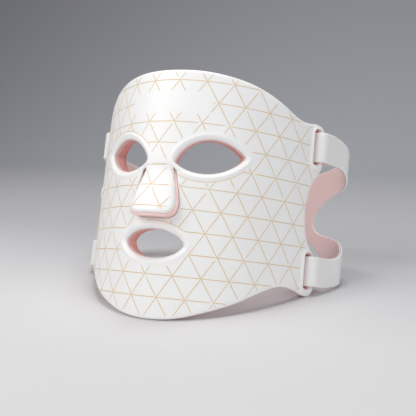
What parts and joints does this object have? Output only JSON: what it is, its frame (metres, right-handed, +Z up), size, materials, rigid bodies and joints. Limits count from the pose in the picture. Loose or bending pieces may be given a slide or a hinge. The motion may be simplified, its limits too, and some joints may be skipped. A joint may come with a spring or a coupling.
{
  "type": "led face mask",
  "caption": "Flexible light-therapy face mask: a bent soft sheet with eye, mouth and nose openings, light boards inside, and a two-part head strap hooked through its wings.",
  "frame": {"origin": "middle of the flat resting edge under the chin, on the surface that the mask stands on", "axes": "+X towards the wearer's left, +Y from the mask's front towards the back of the head, +Z up"},
  "size_m": [0.238, 0.1918, 0.1814],
  "materials": {
    "white_silicone": "satin soft-touch",
    "pink_silicone": "satin translucent",
    "rose_silicone": "satin",
    "board_film": "satin",
    "ribbon_film": "satin",
    "pouch_foil": "satin",
    "rigid_board": "satin",
    "steel": "satin"
  },
  "bodies": {
    "mask": {"outer_shell": "white_silicone", "inner_liner": "pink_silicone", "eye_gasket_left": "rose_silicone", "eye_gasket_right": "rose_silicone", "mouth_gasket": "rose_silicone", "slot_grommet_upper_left": "rose_silicone", "slot_grommet_upper_right": "rose_silicone", "slot_grommet_lower_left": "rose_silicone", "slot_grommet_lower_right": "rose_silicone", "led_board_forehead": "board_film", "led_board_chin": "board_film", "led_board_cheek_left": "board_film", "led_board_cheek_right": "board_film", "ribbon_temple_left": "ribbon_film", "ribbon_temple_right": "ribbon_film", "ribbon_jaw_left": "ribbon_film", "ribbon_jaw_right": "ribbon_film", "ribbon_nose": "ribbon_film", "battery_lead": "ribbon_film", "driver_lead": "ribbon_film", "battery_pouch": "pouch_foil", "driver_board": "rigid_board", "charging_socket": "steel"},
    "nose": {"nose_flap": "white_silicone", "nose_cup": "pink_silicone", "led_board_nose": "board_film"},
    "button": {"power_button": "white_silicone"},
    "strap_left": {"strap_skin_left": "white_silicone", "strap_lining_left": "pink_silicone", "closure_tab_left": "pink_silicone", "closure_magnet_left": "steel"},
    "strap_right": {"strap_skin_right": "white_silicone", "strap_lining_right": "pink_silicone", "closure_tab_right": "pink_silicone", "closure_magnet_right": "steel"}
  },
  "joints": [
    {"name": "strap_left_swing", "type": "hinge", "parent": "mask", "child": "strap_left", "pos_m": [0.09916, 0.10919, 0.06581], "axis": [0, -0.3322, -0.9432], "range_deg": [0, 50]},
    {"name": "strap_right_swing", "type": "hinge", "parent": "mask", "child": "strap_right", "pos_m": [-0.09916, 0.10919, 0.06581], "axis": [0, 0.3322, 0.9432], "range_deg": [0, 50]},
    {"name": "nose_flex", "type": "hinge", "parent": "mask", "child": "nose", "pos_m": [0, 0.02965, 0.10707], "axis": [-1, 0, 0], "range_deg": [-3, 15], "stiffness_Nm_per_rad": 0.05},
    {"name": "power_button_press", "type": "slide", "parent": "mask", "child": "button", "axis": [0.8574, 0.4855, -0.171], "range_m": [0, 0.0005], "stiffness_N_per_m": 400}
  ]
}
